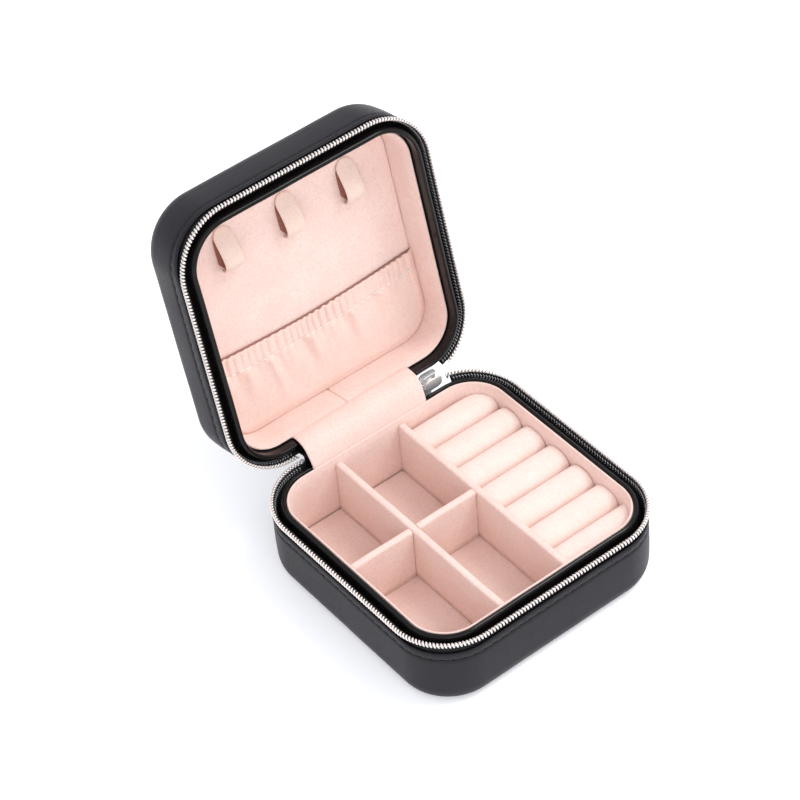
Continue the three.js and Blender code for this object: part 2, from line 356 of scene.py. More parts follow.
def add_bump(nt, bsdf, layers):
    prev = None
    for height, strength, dist in layers:
        b = node(nt, "ShaderNodeBump", Strength=strength, Distance=dist)
        nt.links.new(height, b.inputs["Height"])
        if prev is not None:
            nt.links.new(prev, b.inputs["Normal"])
        prev = b.outputs["Normal"]
    nt.links.new(prev, bsdf.inputs["Normal"])


def math_node(nt, op, a, b=None, c=None):
    m = nt.nodes.new("ShaderNodeMath")
    m.operation = op
    for s, v in zip(m.inputs, (a, b, c)):
        if v is None:
            continue
        if isinstance(v, (int, float)):
            s.default_value = v
        else:
            nt.links.new(v, s)
    return m.outputs[0]


def velvet(name, color, deep, uv=False):
    """Short-pile microfibre: the pile leans a little here and there, with a fine fibrous grain."""
    k = 0.001 if uv else 1.0
    m, nt, b = material(name, color, 0.92, spec=0.18)
    v = coords(nt, uv, (k, k, k))
    patches = noise(nt, v, 95, 3.0, 0.55)
    grain = noise(nt, v, 2600, 3.0, 0.7)
    lay = noise(nt, coords(nt, uv, (k * 1.0, k * 0.45, k * 0.8), (0.3, 0.2, 0.5)), 900, 2.0, 0.6)
    speck = noise(nt, v, 1250, 2.0, 0.6)
    c = blend_color(nt, spread(nt, patches, 0.0, 0.34, 0.35, 0.7), color, deep)
    c = blend_color(nt, spread(nt, grain, 0.0, 0.42, 0.42, 0.72), c, deep)
    c = blend_color(nt, spread(nt, lay, 0.0, 0.22, 0.45, 0.7), c, deep)
    c = blend_color(nt, spread(nt, speck, 0.0, 0.55, 0.48, 0.64), c, deep)
    nt.links.new(c, b.inputs["Base Color"])
    b.inputs["Sheen Weight"].default_value = 0.35
    b.inputs["Sheen Roughness"].default_value = 0.45
    b.inputs["Sheen Tint"].default_value = (1.0, 0.93, 0.9, 1)
    add_bump(nt, b, [(lay, 0.25, 0.0002), (grain, 0.45, 0.00012)])
    return m


def leather(name, uv=False, spec=0.2):
    """Smooth semi-matt synthetic leather with a fine pebble."""
    k = 0.001 if uv else 1.0
    m, nt, b = material(name, (0.0145, 0.0125, 0.0165), 0.44, spec=spec)
    v = coords(nt, uv, (k, k, k))
    cells = node(nt, "ShaderNodeTexVoronoi", Scale=1500.0, _feature="SMOOTH_F1")
    nt.links.new(v, cells.inputs["Vector"])
    big = noise(nt, v, 40, 3.0)
    fine = noise(nt, v, 900, 4.0, 0.6)
    nt.links.new(blend_color(nt, spread(nt, big, 0.0, 1.0, 0.3, 0.7), (0.0125, 0.0108, 0.0145), (0.0175, 0.0152, 0.020)), b.inputs["Base Color"])
    nt.links.new(math_node(nt, "ADD", spread(nt, big, 0.38, 0.47, 0.3, 0.7), spread(nt, fine, -0.03, 0.05, 0.3, 0.7)), b.inputs["Roughness"])
    add_bump(nt, b, [(big, 0.12, 0.0012), (cells.outputs["Distance"], 0.22, 0.00012), (fine, 0.12, 0.00008)])
    return m


def rim_skin(name):
    m, nt, b = material(name, (0.006, 0.005, 0.0052), 0.15, spec=0.2)
    v = coords(nt)
    a, c = noise(nt, v, 120, 3.0), noise(nt, v, 1100, 3.0)
    nt.links.new(blend_color(nt, spread(nt, a, 0.0, 1.0, 0.3, 0.7), (0.005, 0.0042, 0.0043), (0.008, 0.0064, 0.0062)), b.inputs["Base Color"])
    nt.links.new(spread(nt, c, 0.11, 0.19, 0.3, 0.7), b.inputs["Roughness"])
    add_bump(nt, b, [(a, 0.15, 0.0006), (c, 0.12, 0.00006)])
    return m


def tape_cloth(name):
    """Woven zip tape: a fine twill in the mesh's own run, U along it and V across, both in millimetres."""
    m, nt, b = material(name, (0.011, 0.0105, 0.0115), 0.85, spec=0.3)
    tc = node(nt, "ShaderNodeTexCoord")
    sx = node(nt, "ShaderNodeSeparateXYZ")
    nt.links.new(tc.outputs["UV"], sx.inputs[0])
    u = math_node(nt, "MULTIPLY", sx.outputs[0], 2 * PI / 0.42)
    w = math_node(nt, "MULTIPLY", sx.outputs[1], 2 * PI / 0.36)
    along = math_node(nt, "SINE", math_node(nt, "ADD", u, w))
    across = math_node(nt, "SINE", math_node(nt, "SUBTRACT", u, w))
    weave = math_node(nt, "MULTIPLY_ADD", math_node(nt, "MULTIPLY", along, across), 0.5, 0.5)
    n = noise(nt, coords(nt), 1600, 2.0)
    nt.links.new(blend_color(nt, weave, (0.0075, 0.007, 0.0078), (0.017, 0.0165, 0.018)), b.inputs["Base Color"])
    nt.links.new(spread(nt, n, 0.74, 0.94, 0.3, 0.7), b.inputs["Roughness"])
    add_bump(nt, b, [(weave, 0.6, 0.00012), (n, 0.2, 0.00006)])
    return m


def plated(name, color, lo, hi, metal=1.0):
    m, nt, b = material(name, color, (lo + hi) / 2, metal=metal)
    v = coords(nt)
    a, c = noise(nt, v, 260, 3.0), noise(nt, v, 2600, 2.0)
    nt.links.new(spread(nt, a, lo, hi, 0.3, 0.7), b.inputs["Roughness"])
    dark = tuple(x * 0.86 for x in color)
    nt.links.new(blend_color(nt, spread(nt, c, 0.0, 0.5, 0.45, 0.75), color, dark), b.inputs["Base Color"])
    add_bump(nt, b, [(c, 0.05, 0.00004)])
    return m


def thread(name, color, dark):
    """Twisted sewing thread: its lay shows as slanting ridges, in the stitch's own millimetres."""
    m, nt, b = material(name, color, 0.65, spec=0.35)
    tc = node(nt, "ShaderNodeTexCoord")
    sx = node(nt, "ShaderNodeSeparateXYZ")
    nt.links.new(tc.outputs["UV"], sx.inputs[0])
    ph = math_node(nt, "ADD", math_node(nt, "MULTIPLY", sx.outputs[0], 2 * PI / 0.35), math_node(nt, "MULTIPLY", sx.outputs[1], 11.0))
    lay = math_node(nt, "MULTIPLY_ADD", math_node(nt, "SINE", ph), 0.5, 0.5)
    nt.links.new(blend_color(nt, lay, dark, color), b.inputs["Base Color"])
    nt.links.new(spread(nt, noise(nt, coords(nt), 1500, 2.0), 0.55, 0.75, 0.3, 0.7), b.inputs["Roughness"])
    add_bump(nt, b, [(lay, 0.5, 0.00008)])
    return m


def card(name, color, dark):
    m, nt, b = material(name, color, 0.9, spec=0.2)
    v = coords(nt)
    a, c = noise(nt, v, 350, 4.0, 0.65), noise(nt, coords(nt, False, (1, 1, 6)), 900, 3.0)
    nt.links.new(blend_color(nt, spread(nt, a, 0.0, 0.8, 0.35, 0.7), color, dark), b.inputs["Base Color"])
    nt.links.new(spread(nt, c, 0.82, 0.96, 0.3, 0.7), b.inputs["Roughness"])
    add_bump(nt, b, [(a, 0.3, 0.00015), (c, 0.25, 0.0001)])
    return m


PINK = (0.905, 0.715, 0.655)
PINK_DEEP = (0.79, 0.555, 0.485)
M_VELVET = velvet("velvet_lining", PINK, PINK_DEEP)
M_VELVET_UV = velvet("velvet_strap", PINK, PINK_DEEP, uv=True)
M_POCKET = velvet("velvet_pocket", (0.90, 0.685, 0.615), (0.785, 0.545, 0.47))
M_TAB = velvet("velvet_tab", (0.84, 0.675, 0.59), (0.74, 0.565, 0.48))
# dark brown velvet as painted shade: the shaded space under the necklace hooks and the dark line along the pocket mouth
M_SHADE_BROWN = velvet("velvet_painted_shade_brown", (0.40, 0.175, 0.13), (0.27, 0.105, 0.08))
M_ROLL = velvet("velvet_roll", (0.93, 0.765, 0.705), (0.84, 0.635, 0.565))
M_LEATHER = leather("leather_black")
M_LEATHER_UV = leather("leather_spine", uv=True)
M_RIM = rim_skin("rim_gloss_black")
M_TAPE = tape_cloth("zip_tape_twill")
M_COIL = plated("zip_coil_rose_silver", (0.86, 0.80, 0.765), 0.24, 0.36)
M_METAL = plated("zip_hardware_silver", (0.965, 0.955, 0.945), 0.26, 0.40, 0.6)
M_THREAD = thread("thread_black", (0.012, 0.011, 0.012), (0.004, 0.004, 0.004))
# near-black material as painted shade for the needle holes
M_HOLE_SHADE = thread("needle_hole_painted_shade", (0.0022, 0.002, 0.0022), (0.001, 0.001, 0.001))
M_WHITE = thread("thread_white", (0.95, 0.92, 0.9), (0.78, 0.72, 0.7))
M_ZIPSEW = thread("thread_zip_sewing", (0.82, 0.82, 0.84), (0.5, 0.5, 0.52))
M_BOARD = card("grey_board", (0.30, 0.27, 0.24), (0.20, 0.18, 0.155))


def finish_piece(o, body, slot, *nodes):
    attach(o, body)
    if nodes:
        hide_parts(*nodes)
    return o


# ------------------------------------------------------------ leather walls
STITCH = 3.6   # one stitch and its gap, along the wall


def wall(name, z0, sgn, H, hs, body, nodes, parts, lid, droop=0.0):
    """Leather band: rolled at the closed end, folded into a hem at the zip, with a sewn line below the hem.
    droop brings the sewn line nearer the zip along the front."""
    prof = [(44.45, 0.85), (44.33, 0.5), (44.42, 0.16), (44.75, 0.0)]
    prof += [(44.85 + 3.4 * math.cos(t), 6.0 + 6.0 * math.sin(t)) for t in np.radians(np.linspace(-90, 0, 15))]
    for h in np.linspace(6.0, hs - 1.0, 12)[1:]:
        prof.append((48.25 + 0.14 * math.sin(PI * (h - 6.0) / (hs - 6.0)), h))
    prof += [(48.24, hs - 0.7), (48.14, hs - 0.42), (47.98, hs - 0.2), (47.93, hs), (47.98, hs + 0.2), (48.14, hs + 0.42), (48.3, hs + 0.75)]
    prof += [(48.35, hs + 1.1), (48.36, (hs + H + 0.1) / 2), (48.34, H - 1.0), (48.28, H - 0.58), (48.16, H - 0.27), (47.98, H - 0.07), (47.75, H), (47.55, H - 0.1), (47.4, H - 0.4)]
    prof += [(47.37, H - 1.2)] + [(47.37, h) for h in np.linspace(H - 3, 4.6, 5)]
    prof += arc(45.05, 3.2, 2.3, 0, -90, 5)
    prof = np.array(prof)
    n = 590
    q, U = ring_q(n)
    s = U[:-1]
    P = np.zeros((n, len(prof), 3))
    holes = np.cos(2 * PI * s / STITCH)            # 1 at each needle hole
    fall = lambda xy: droop * np.clip((-xy[:, 1] - 22) / 24, 0, 1)
    slow = wave(s, parts)
    for j, (d, h) in enumerate(prof):
        xy, N, _ = outline(q, d, rad(d))
        out = np.zeros(n)
        if d > 47.6 or h < 3.3:
            out += slow * (0.35 + 0.65 * min(1, h / H))
        if d > 47.7 and abs(h - hs) < 1.0:
            out += -0.24 * np.maximum(0, holes) ** 2 * math.exp(-((h - hs) / 0.5) ** 2)
        if d > 47.7 and h > hs + 0.5:
            out += -0.10 * holes * math.exp(-((h - hs - 0.7) / 1.0) ** 2)
        P[:, j, :2] = xy + N * out[:, None]
        near = np.clip((h - hs + 6) / 6, 0, 1) if h < hs else np.clip((H - 0.7 - h) / (H - 0.7 - hs), 0, 1)
        P[:, j, 2] = z0 + sgn * (h + (near * fall(xy) if d > 47.38 else 0))
    g = Geo().grid(P, True, True, U=U)
    o = g.object(name, M_LEATHER, lid=lid)
    finish_piece(o, body, "leather", *nodes)
    # the thread, stitch by stitch, lying in its groove
    L = U[-1]
    k = int(L // STITCH)
    s = np.arange(k) * STITCH + STITCH / 2
    s = s[s < L - 0.5]
    a, r = 48.03, rad(48.03)
    xy, N, T = outline(q_of_s(s * piece_lengths(a, r).sum() / L, a, r), a, r)
    z = np.zeros(len(s))
    slow = wave(s, parts) * (0.35 + 0.65 * hs / H)
    O = np.column_stack([xy + N * slow[:, None], z + z0 + sgn * (hs + fall(xy))])
    tilt = 0.05
    T3 = np.column_stack([T * math.cos(tilt), np.full(len(s), sgn * math.sin(tilt))])
    N3 = np.column_stack([N, z])
    B3 = np.cross(N3, T3)
    g = Geo().stamp(capsule(3.05, 0.27, 0.9, bow=0.16), O, T3, B3, N3)
    finish_piece(g.object(name + "_stitching", M_THREAD, lid=lid), body, "leather")
    # the needle holes between them: slightly sunk shapes coloured near-black as painted shade in the holes
    s = s - STITCH / 2
    xy, N, T = outline(q_of_s(s * piece_lengths(a, r).sum() / L, a, r), a, r)
    slow = wave(s, parts) * (0.35 + 0.65 * hs / H)
    O = np.column_stack([xy + N * (slow[:, None] + 0.02), z + z0 + sgn * (hs + fall(xy))])
    T3 = np.column_stack([T, z])
    N3 = np.column_stack([N, z])
    g = Geo().stamp(capsule(1.3, 0.40, 0.62), O, T3, np.cross(N3, T3), N3)
    return o, finish_piece(g.object(name + "_needle_hole_shade", M_HOLE_SHADE, lid=lid), body, "leather")


WAVE_BASE = [(0.05, 3, 0.4), (0.045, 7, 1.9), (0.03, 13, 4.0), (0.02, 23, 0.8)]
WAVE_LID = [(0.06, 4, 2.4), (0.05, 9, 0.3), (0.035, 15, 5.0), (0.02, 27, 1.1)]
wall("case_base_leather", 0.0, 1, 22.5, 19.5, "base", ["base_side_band"], WAVE_BASE, False)
wall("case_lid_leather", 50.6, -1, 18.0, 13.9, "lid", ["lid_side_band"], WAVE_LID, True, droop=2.3)


def plate(name, a, z0, z1, e, mat, body, slot, nodes, lid=False, crown=0.0, uneven=0.0, seed=1, n=240, edge_up=True):
    """A flat panel with a turned edge; crown lifts its middle on the z1 side."""
    q, U = ring_q(n)
    rows = []
    dz = 1 if z1 > z0 else -1
    inner = [0.03, 0.2, 0.4, 0.6, 0.78, 0.9]
    for f in inner:
        rows.append((a * f, rad(a) * f, z0, 0))
    rows.append((a - e - 0.6, rad(a - e - 0.6), z0, 0))
    for t in np.radians(np.linspace(-90, 90, 9)):
        d = a - e + e * math.cos(t)
        rows.append((d, rad(d), (z0 + z1) / 2 + dz * (abs(z1 - z0) / 2) * math.sin(t), 0))
    rows.append((a - e - 0.6, rad(a - e - 0.6), z1, 1))
    for f in inner[::-1]:
        rows.append((a * f, rad(a) * f, z1, 1))
    P = np.zeros((n, len(rows), 3))
    for j, (d, r, z, up) in enumerate(rows):
        xy, _, _ = outline(q, d, r)
        P[:, j, :2] = xy
        P[:, j, 2] = z
        if up:
            k = max(0.0, 1 - (d / a) ** 4)
            P[:, j, 2] += dz * crown * k + k * lumps(xy[:, 0], xy[:, 1], seed, uneven, 28)
    o = Geo().grid(P, True, False, caps=True).object(name, mat, lid=lid)
    return finish_piece(o, body, slot, *nodes)


plate("case_underside_panel", 44.1, 0.9, 0.0, 0.35, M_LEATHER, "base", "leather", ["base_bottom_panel"])
plate("case_top_panel", 44.15, 49.7, 50.6, 0.4, M_LEATHER, "lid", "leather", ["lid_top_panel"], lid=True, crown=0.25, uneven=0.05, seed=4)
plate("base_floor_velvet", 41.9, 3.2, 4.0, 0.4, M_VELVET, "base", "velvet", ["base_floor_lining"], uneven=0.06, seed=7)
plate("lid_panel_velvet", 41.9, 44.8, 44.0, 0.4, M_VELVET, "lid", "velvet", ["lid_panel_lining"], lid=True, uneven=0.08, seed=9)


# ------------------------------------------------------------ rims, linings
def strap_zone(xy, soft=0.35):
    x, y = xy[:, 0], xy[:, 1]
    k = np.clip((x - (STRAP[0] - 0.7)) / soft, 0, 1) * np.clip((STRAP[1] + 0.7 - x) / soft, 0, 1)
    return np.where(y > 38, k * k * (3 - 2 * k), 0.0)


def rim(name, end, sgn, back, drop, body, node_name, lid):
    """Glossy inner rim with a rolled edge and a narrow gutter out to the zip tape."""
    top = end
    prof = [(43.6, back), (43.6, top - sgn * 12), (43.6, top - sgn * 6), (43.6, top - sgn * 3), (43.6, top - sgn * 1.6)]
    prof += [(44.15 - 0.55 * math.cos(t), top - sgn * 0.55 + sgn * 0.55 * math.sin(t)) for t in np.linspace(0.0, PI * 0.62, 10)]
    prof += [(44.72, top - sgn * 0.16), (45.02, top - sgn * 0.42), (45.22, top - sgn * 0.78), (45.35, top - sgn * 1.25)]
    prof += [(45.4, top - sgn * 1.8), (45.45, top - sgn * 2.7), (45.62, top - sgn * 3.4), (46.0, top - sgn * 3.95), (46.42, top - sgn * 4.2), (46.42, top - sgn * 4.8), (45.8, top - sgn * 5.3), (45.4, top - sgn * 6.2), (45.4, top - sgn * 12), (45.4, back)]
    n = 480
    q, U = ring_q(n)
    P = np.zeros((n, len(prof), 3))
    for j, (d, z) in enumerate(prof):
        xy, _, _ = outline(q, d, rad(d))
        reach = np.clip(1 - (abs(z - top) - 1.7) / 9.0, 0, 1)
        P[:, j, :2] = xy
        P[:, j, 2] = z - sgn * drop * strap_zone(xy) * reach + sgn * 0.05 * wave(U[:-1], [(1, 11, 0.3), (0.7, 19, 2.0)]) * (abs(z - top) < 2)
    o = Geo().grid(P, True, True, U=U).object(name, M_RIM, lid=lid)
    return finish_piece(o, body, "rim_skin", node_name)


rim("base_rim_gloss", 27.1, 1, 3.2, 1.0, "base", "base_inner_rim", False)
rim("lid_rim_gloss", 27.5, -1, 47.8, 4.8, "lid", "lid_inner_rim", True)


def side_lining(name, edge, back, sgn, body, node_name, lid, butt=None):
    """Velvet wall lining over card, rolled over at its free edge; butt is where its two ends meet."""
    prof = [(42.0, back)] + [(42.0, z) for z in np.linspace(back + sgn * 2, edge - sgn * 3.2, 7)]
    prof += [(42.08, edge - sgn * 2.4), (42.26, edge - sgn * 1.5), (42.43, edge - sgn * 0.85)]
    prof += [(42.9 - 0.4 * math.cos(t), edge - sgn * 0.4 + sgn * 0.4 * math.sin(t)) for t in np.linspace(0, PI, 11)]
    prof += [(43.3, z) for z in np.linspace(edge - sgn * 1.4, back + sgn * 2, 4)] + [(43.3, back)]
    n = 420
    q, U = ring_q(n)
    if butt is not None:
        extra = q_of_s(np.array([-butt - 0.5, -butt - 0.28, -butt - 0.12, -butt, -butt + 0.12, -butt + 0.28, -butt + 0.5]), WALL, WALL_R)
        q = np.sort(np.concatenate([q, extra]))
    n = len(q)
    P = np.zeros((n, len(prof), 3))
    for j, (d, z) in enumerate(prof):
        xy, N, _ = outline(q, d, rad(d))
        push = 0.07 * lumps(xy[:, 0] + xy[:, 1], np.full(n, z), 21, 1.0, 22) * (abs(z - back) > 1) * (d < 42.9)
        if butt is not None and d < 43.0:
            push = push + np.where(xy[:, 1] > 38, 0.62 * np.exp(-((xy[:, 0] - butt) / 0.2) ** 2), 0)
        P[:, j, :2] = xy + N * np.asarray(push)[:, None]
        P[:, j, 2] = z
    o = Geo().grid(P, True, True).object(name, M_VELVET, lid=lid)
    return finish_piece(o, body, "velvet", node_name)


side_lining("base_wall_velvet", 26.8, 3.2, 1, "base", "base_side_lining", False)
side_lining("lid_wall_velvet", 31.6, 47.8, -1, "lid", "lid_side_lining", True, butt=-1.9)


# ------------------------------------------------------------ zip
def zip_side(tag, zt, body, lid, tape_node, teeth_node):
    """zt turns a height on the base's zip into this one's. Tape, coil and the thread that sews the coil on."""
    line, _ = spline([(46.78, 19.4), (46.78, 21.5), (46.86, 22.8), (47.08, 24.0), (47.38, 25.1), (47.62, 26.0), (47.72, 26.6)], 18)
    t = np.gradient(line, axis=0)
    t /= np.linalg.norm(t, axis=1)[:, None]
    nrm = np.stack([t[:, 1], -t[:, 0]], 1)          # towards the outside
    th = 0.21
    outer = line + nrm * th
    inner = line - nrm * th
    tip = line[-1] + t[-1] * 0.14
    sec = np.vstack([outer, tip + nrm[-1] * 0.12, tip - nrm[-1] * 0.12, inner[::-1]])
    L = piece_lengths(TEETH, TEETH_R).sum()
    s0, s1 = 25.8, L - 28.0 - TEETH_R * math.asin((34.3 - 28.0) / TEETH_R)
    bow = lambda s: 0.25 * np.clip((s - s1 + 16) / 8, 0, 1)      # stands out a little where it enters the slider
    s = np.linspace(s0 - 1.2, s1, 520)
    q = q_of_s(s, TEETH, TEETH_R)
    P = np.zeros((len(s), len(sec), 3))
    for j, (d, z) in enumerate(sec):
        xy, N, _ = outline(q, d, rad_tape(d))
        P[:, j, :2] = xy + N * (bow(s) * min(1.0, max(0.0, (z - 22) / 4)))[:, None]
        P[:, j, 2] = zt(z)
    W = np.concatenate([[0], np.cumsum(np.linalg.norm(np.diff(np.vstack([sec, sec[:1]]), axis=0), axis=1))])
    o = Geo().grid(P, False, True, U=s - s0, W=W, caps=True).object(tag + "_tape_twill", M_TAPE, lid=lid)
    finish_piece(o, body, "zip_tape", tape_node)
    # the coil: one wound filament, a tooth to every turn
    up = 1 if zt(1) > zt(0) else -1
    pitch, m = 1.2, 14
    turns = int((s1 + 1.0 - (s0 + 0.4)) / pitch) - (3 if lid else 0)
    k = np.arange(turns * m + 1)
    phi = 2 * PI * k / m
    sc = s0 + 0.4 + k * pitch / m
    xy, N, T = outline(q_of_s(sc, TEETH, TEETH_R), COIL, rad_tape(COIL))
    xy = xy + N * bow(sc)[:, None]
    A, B = 0.70, 0.42
    ca = np.sign(np.cos(phi)) * np.abs(np.cos(phi)) ** 0.7
    sa = np.sign(np.sin(phi)) * np.abs(np.sin(phi)) ** 0.7
    zc = zt(26.5)
    C = np.column_stack([xy + N * (0.13 * A * ca + 0.99 * B * sa)[:, None], zc + up * (0.99 * A * ca - 0.13 * B * sa)])
    t3 = np.gradient(C, axis=0)
    t3 /= np.linalg.norm(t3, axis=1)[:, None]
    e = C - np.column_stack([xy, np.full(len(k), zc)])
    e -= np.einsum("ij,ij->i", e, t3)[:, None] * t3
    e /= np.linalg.norm(e, axis=1)[:, None]
    b = np.cross(t3, e)
    v = np.arange(8) * 2 * PI / 8
    ring = C[:, None] + 0.31 * np.cos(v)[None, :, None] * e[:, None] + 0.37 * np.sin(v)[None, :, None] * b[:, None]
    o = Geo().grid(ring, False, True, caps=True).object(tag + "_coil", M_COIL, lid=lid)
    finish_piece(o, body, "zip_metal", teeth_node)
    # sewing: a slanted stitch between every two teeth, seen on the inner face, and its line on the outer one
    sd = np.arange(s0 + 1.0, s1 - 0.4, pitch)
    for side, nm, down in ((-1, "inner", 0.85), (-1, "inner_lower", 1.75), (1, "outer", 1.75)):
        at = line[-1] - t[-1] * down + side * nrm[-1] * (th + 0.03)
        xy, N, T = outline(q_of_s(sd, TEETH, TEETH_R), at[0], rad_tape(at[0]))
        xy = xy + N * bow(sd)[:, None] * 0.9
        n = len(sd)
        Nv = np.column_stack([N * nrm[-1][0] * side, np.full(n, up * nrm[-1][1] * side)])
        Wv = np.column_stack([N * t[-1][0], np.full(n, up * t[-1][1])])
        Tv = np.column_stack([T, np.zeros(n)])
        D = 0.78 * Wv + (0.62 if down < 1 else -0.62) * Tv
        D /= np.linalg.norm(D, axis=1)[:, None]
        O = np.column_stack([xy, np.full(n, zt(at[1]))])
        g = Geo().stamp(capsule(0.9, 0.15, 0.8), O, D, np.cross(Nv, D), Nv)
        finish_piece(g.object(f"{tag}_sewing_{nm}", M_ZIPSEW if side < 0 else M_THREAD, lid=lid), body, "zip_tape")


zip_side("base_zip", lambda z: z, "base", False, "base_zip_tape", "base_zip_teeth")
zip_side("lid_zip", lambda z: 55.3 - z, "lid", True, "lid_zip_tape", "lid_zip_teeth")


# ------------------------------------------------------------ dividers
def bar(p0, p1, across, zlo, zhi, thick, seed, ends=0.45, top=0.85):
    """Velvet-wrapped card standing on its edge from p0 to p1 (its middle line)."""
    h = thick / 2
    prof = [(-h, z) for z in np.linspace(zlo, zhi - top, 9)]
    prof += [(-h + top - top * math.cos(t), zhi - top + top * math.sin(t)) for t in np.linspace(0, PI / 2, 6)[1:]]
    prof += [(0.0, zhi + 0.04)]
    prof += [(h - top + top * math.sin(t), zhi - top + top * math.cos(t)) for t in np.linspace(0, PI / 2, 6)]
    prof += [(h, z) for z in np.linspace(zhi - top, zlo, 9)[1:]]
    prof = np.array(prof)
    p0, p1 = np.array(p0, float), np.array(p1, float)
    L = np.linalg.norm(p1 - p0)
    run = np.concatenate([[0, 0.08, 0.22, ends], np.linspace(ends, L - ends, int(L / 1.6))[1:-1], [L - ends, L - 0.22, L - 0.08, L]])
    d = (p1 - p0) / L
    side = np.array([d[1], -d[0]])
    P = np.zeros((len(run), len(prof), 3))
    for i, s in enumerate(run):
        k = min(s, L - s)
        inset = ends - math.sqrt(max(0, ends ** 2 - (ends - k) ** 2)) if k < ends else 0
        off = prof[:, 0] * (1 - inset / h) + lumps(np.full(len(prof), s), prof[:, 1], seed, 0.05, 26)
        base = p0 + d * s
        P[i, :, :2] = base + off[:, None] * side
        P[i, :, 2] = prof[:, 1] - inset * (prof[:, 1] > zhi - 2) + lumps(np.full(len(prof), s), 0 * prof[:, 1], seed + 1, 0.05, 30) * (prof[:, 1] > zhi - 2)
    return P


D1, D2, DT, CY = -17.9, 8.2, 2.6, 1.2
for nm, p0, p1, cad, seed in (
    ("divider_left_velvet", (D1 + DT / 2, -41.95), (D1 + DT / 2, 41.95), "divider_long_left", 31),
    ("divider_right_velvet", (D2 + DT / 2, -41.95), (D2 + DT / 2, 41.95), "divider_long_right", 35),
    ("divider_cross_left_velvet", (-41.95, CY + DT / 2), (D1 - 0.06, CY + DT / 2), "divider_cross_left", 39),
    ("divider_cross_middle_velvet", (D1 + DT + 0.06, CY + DT / 2), (D2 - 0.06, CY + DT / 2), "divider_cross_middle", 43)):
    P = bar(p0, p1, None, 4.05, 25.0, DT, seed)
    finish_piece(Geo().grid(P, False, True, caps=True).object(nm, M_VELVET), "base", "velvet", cad)


# ------------------------------------------------------------ ring rolls
def ring_roll(i):
    """A foam roll in velvet: flattened where it presses on its neighbours, soft at both ends, shaped by the wall and its corner."""
    y0, z0, x0, x1 = 12.0 * (3 - i), 16.7, 11.0, 41.93
    r, e = 5.95, 0.9
    g = np.random.default_rng(60 + i)
    r = r + g.uniform(-0.03, 0.03)
    run = np.concatenate([x0 + e * (1 - np.cos(np.linspace(0, PI / 2, 7))), np.linspace(x0 + e, x1 - e, 22)[1:-1], x1 - e * (1 - np.cos(np.linspace(PI / 2, 0, 7)))])
    a = np.arange(56) * 2 * PI / 56
    ca, sa = np.cos(a), np.sin(a)
    P = np.zeros((len(run), len(a), 3))
    for k, x in enumerate(run):
        t = min(x - x0, x1 - x)
        f = math.sqrt(max(0.0, 1 - (1 - t / e) ** 2)) if t < e else 1.0
        rr = r - e * (1 - f) * 0.85
        sag = 0.12 * math.sin(PI * (x - x0) / (x1 - x0))
        yy = rr * np.sign(ca) * np.abs(ca) ** 0.8
        zz = (rr + sag) * np.sign(sa) * np.abs(sa) ** 0.95
        yy = np.clip(yy, -5.9, 5.9)
        P[k, :, 0] = x
        P[k, :, 1] = y0 + yy
        P[k, :, 2] = z0 + zz + lumps(np.full(len(a), x), yy + 9 * i, 70 + i, 0.05, 14)
    c, R = INSERT + 0.22 - rad(INSERT), rad(INSERT) + 0.0
    x, y = P[..., 0], P[..., 1]
    m = (x > c) & (np.abs(y) > c)
    dx, dy = x - c, np.abs(y) - c
    dist = np.hypot(dx, dy)
    lim = np.where(m & (dist > R), R / np.maximum(dist, 1e-6), 1.0)
    P[..., 0] = np.where(m, c + dx * lim, x)
    P[..., 1] = np.where(m, np.sign(y) * (c + dy * lim), np.clip(y, -41.92, 41.92))
    o = Geo().grid(P, False, True, caps=True).object(f"ring_roll_velvet_{i + 1}", M_ROLL)
    finish_piece(o, "base", "velvet", f"ring_roll_{i + 1}")


for i in range(7):
    ring_roll(i)


# ------------------------------------------------------------ hinge strap and spine
def two_body(o, slot, start, end, *nodes):
    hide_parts(*nodes)
    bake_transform(o)


left, _ = spline([(43.64, 26.0), (43.75, 27.2), (44.6, 28.8), (45.8, 30.4), (47.1, 31.9), (48.7, 33.0), (51.0, 33.5), (53.2, 33.3), (54.55, 32.7), (55.1, 31.9)], 64)
right, _ = spline([(43.62, 26.0), (43.64, 27.2), (44.25, 29.2), (45.35, 31.6), (46.9, 33.3), (48.8, 34.15), (51.2, 34.35), (53.3, 34.1), (54.6, 33.2), (55.1, 32.1)], 64)
path = (left + right) / 2
u = np.concatenate([[0], np.cumsum(np.linalg.norm(np.diff(path, axis=0), axis=1))])
xl = np.interp(u, [0, u[-1]], [STRAP[0] - 0.1, STRAP[0] + 0.2])
xr = np.interp(u, [0, u[-1]], [STRAP[1] - 0.35, STRAP[1] + 0.35])
P = strip(path, (xl + xr) / 2, (xr - xl) / 2, 0.42, n=96, side=1.0)
a = np.arange(96) * 2 * PI / 96
# a flat rounded section: long straight faces, half-round edges
half = ((xr - xl) / 2)[:, None]
xs = np.concatenate([np.linspace(1, -1, 44), np.full(4, -1), np.linspace(-1, 1, 44), np.full(4, 1)])
hs = np.concatenate([np.full(44, 1.0), [0.8, 0.35, -0.35, -0.8], np.full(44, -1.0), [-0.8, -0.35, 0.35, 0.8]])
ends = np.concatenate([np.zeros(44), [-0.16, -0.3, -0.3, -0.16], np.zeros(44), [0.16, 0.3, 0.3, 0.16]])
t = np.gradient(path, axis=0)
t /= np.linalg.norm(t, axis=1)[:, None]
nrm = np.stack([-t[:, 1], t[:, 0]], 1)
P = np.zeros((len(path), 96, 3))
P[..., 0] = ((xl + xr) / 2)[:, None] + half * xs[None] + ends[None]
puff = lumps(P[..., 0], u[:, None] + 0 * P[..., 0], 91, 0.10, 17) * np.sin(PI * u / u[-1])[:, None]
twist = (1 + xs)[None, :, None] / 2
P[..., 1:] = left[:, None] * (1 - twist) + right[:, None] * twist + ((0.42 * hs)[None] + puff)[..., None] * nrm[:, None, :]
o = Geo().grid(P, False, True, U=u, caps=True).object("hinge_strap_velvet", M_VELVET_UV)
